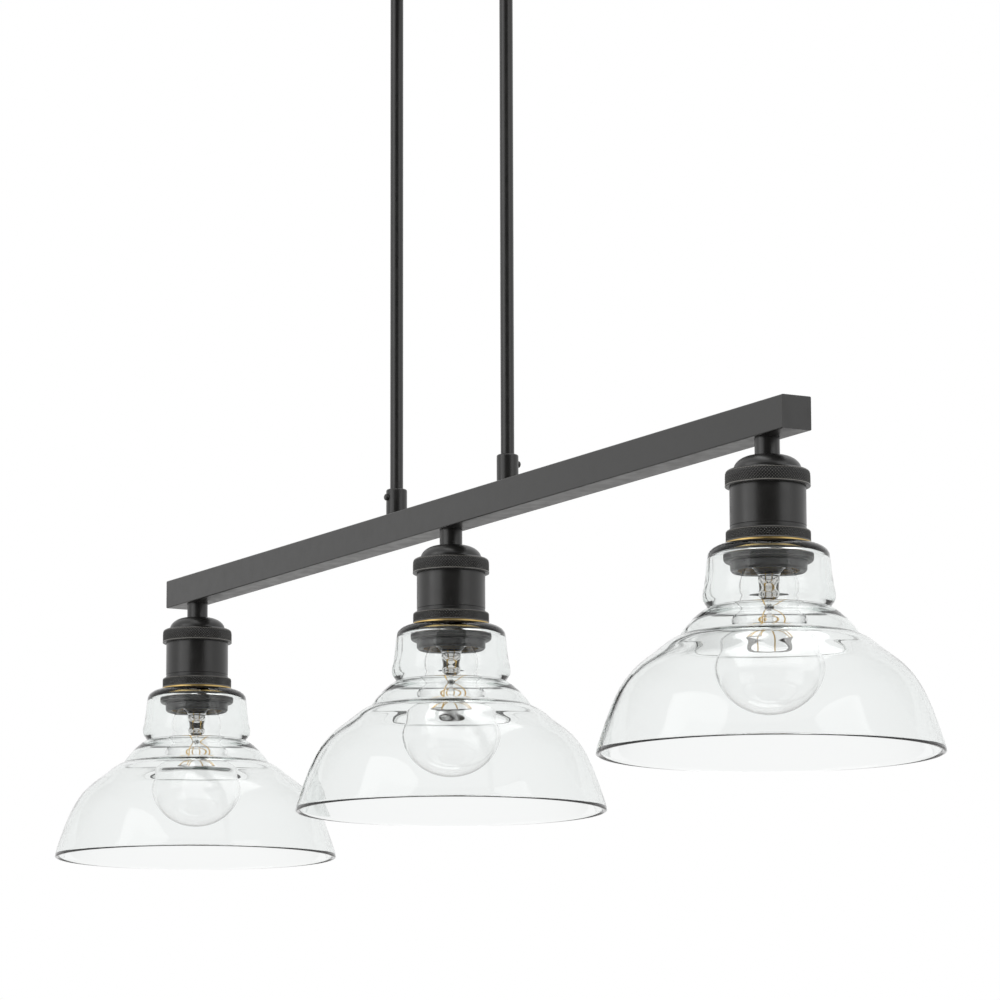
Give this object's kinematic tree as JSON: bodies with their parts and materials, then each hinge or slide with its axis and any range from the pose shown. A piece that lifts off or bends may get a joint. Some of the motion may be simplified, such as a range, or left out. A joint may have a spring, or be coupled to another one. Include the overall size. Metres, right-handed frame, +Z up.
{
  "type": "linear island pendant",
  "caption": "Linear pendant: a square bar on rods from a ceiling canopy, with clear bell glass shades on knurled lamp holders and screw-in bulbs.",
  "frame": {"origin": "middle of the ceiling strap's top face, which lies on the ceiling inside the canopy", "axes": "+Z up towards the ceiling, +X along the bar, -Y the front"},
  "size_m": [0.9734, 0.2014, 0.6329],
  "materials": {
    "black_powder_coat": "satin",
    "zinc_plated_steel": "bright zinc",
    "brass": "satin",
    "porcelain": "glazed",
    "clear_shade_glass": "clear",
    "bulb_glass": "clear",
    "bulb_mount": "clear",
    "black_insulation": "matte",
    "white_insulation": "matte",
    "crimp_nylon": "matte",
    "orange_plastic": "matte",
    "green_screw": "plated"
  },
  "bodies": {
    "canopy_mount": {"ceiling_strap": "zinc_plated_steel", "canopy": "black_powder_coat", "canopy_studs": "zinc_plated_steel", "canopy_cap_nuts": "black_powder_coat", "ground_screw": "green_screw", "swivel_seats": "black_powder_coat"},
    "hanging_frame": {"swivel_balls": "brass", "rod_left": "black_powder_coat", "rod_right": "black_powder_coat", "rod_collar_left": "black_powder_coat", "rod_collar_right": "black_powder_coat", "collar_screws": "black_powder_coat", "rod_nuts": "zinc_plated_steel", "bar": "black_powder_coat", "bar_end_caps": "black_powder_coat", "stem_nuts": "zinc_plated_steel", "seat_washers": "brass", "screw_shells": "brass", "centre_contacts": "brass", "live_wires": "black_insulation", "neutral_wires": "white_insulation", "splices": "crimp_nylon", "wire_nuts": "orange_plastic", "stem_1": "black_powder_coat", "stem_2": "black_powder_coat", "stem_3": "black_powder_coat", "dome_cap_1": "black_powder_coat", "dome_cap_2": "black_powder_coat", "dome_cap_3": "black_powder_coat", "top_ring_1": "black_powder_coat", "top_ring_2": "black_powder_coat", "top_ring_3": "black_powder_coat", "socket_body_1": "black_powder_coat", "socket_body_2": "black_powder_coat", "socket_body_3": "black_powder_coat", "lower_ring_1": "black_powder_coat", "lower_ring_2": "black_powder_coat", "lower_ring_3": "black_powder_coat", "threaded_sleeve_1": "brass", "threaded_sleeve_2": "brass", "threaded_sleeve_3": "brass", "insulator_core_1": "porcelain", "insulator_core_2": "porcelain", "insulator_core_3": "porcelain"},
    "shade_1": {"glass_shade_1": "clear_shade_glass"},
    "ring_1": {"retainer_ring_1": "black_powder_coat"},
    "bulb_1": {"bulb_cap_1": "brass", "bulb_glass_1": "bulb_glass", "bulb_mount_1": "bulb_mount"},
    "shade_2": {"glass_shade_2": "clear_shade_glass"},
    "ring_2": {"retainer_ring_2": "black_powder_coat"},
    "bulb_2": {"bulb_cap_2": "brass", "bulb_glass_2": "bulb_glass", "bulb_mount_2": "bulb_mount"},
    "shade_3": {"glass_shade_3": "clear_shade_glass"},
    "ring_3": {"retainer_ring_3": "black_powder_coat"},
    "bulb_3": {"bulb_cap_3": "brass", "bulb_glass_3": "bulb_glass", "bulb_mount_3": "bulb_mount"}
  },
  "joints": [
    {"name": "swing", "type": "hinge", "parent": "canopy_mount", "child": "hanging_frame", "pos_m": [0, 0, -0.019], "axis": [1, 0, 0], "range_deg": [-20, 20]},
    {"name": "shade_1_drop", "type": "slide", "parent": "hanging_frame", "child": "shade_1", "axis": [0, 0, -1], "range_m": [0, 0.006]},
    {"name": "ring_1_turn", "type": "hinge", "parent": "shade_1", "child": "ring_1", "pos_m": [-0.386, 0, -0.5152], "axis": [0, 0, -1], "range_deg": [0, 1080]},
    {"name": "bulb_1_draw", "type": "slide", "parent": "hanging_frame", "child": "bulb_1", "axis": [0, 0, -1], "range_m": [0, 0.026]},
    {"name": "shade_2_drop", "type": "slide", "parent": "hanging_frame", "child": "shade_2", "axis": [0, 0, -1], "range_m": [0, 0.006]},
    {"name": "ring_2_turn", "type": "hinge", "parent": "shade_2", "child": "ring_2", "pos_m": [0, 0, -0.5152], "axis": [0, 0, -1], "range_deg": [0, 1080]},
    {"name": "bulb_2_draw", "type": "slide", "parent": "hanging_frame", "child": "bulb_2", "axis": [0, 0, -1], "range_m": [0, 0.026]},
    {"name": "shade_3_drop", "type": "slide", "parent": "hanging_frame", "child": "shade_3", "axis": [0, 0, -1], "range_m": [0, 0.006]},
    {"name": "ring_3_turn", "type": "hinge", "parent": "shade_3", "child": "ring_3", "pos_m": [0.386, 0, -0.5152], "axis": [0, 0, -1], "range_deg": [0, 1080]},
    {"name": "bulb_3_draw", "type": "slide", "parent": "hanging_frame", "child": "bulb_3", "axis": [0, 0, -1], "range_m": [0, 0.026]}
  ],
  "couplings": [
    {"joint": "ring_1_turn", "follows": "shade_1_drop", "rad_per_m": 3141.6},
    {"joint": "ring_2_turn", "follows": "shade_2_drop", "rad_per_m": 3141.6},
    {"joint": "ring_3_turn", "follows": "shade_3_drop", "rad_per_m": 3141.6}
  ]
}
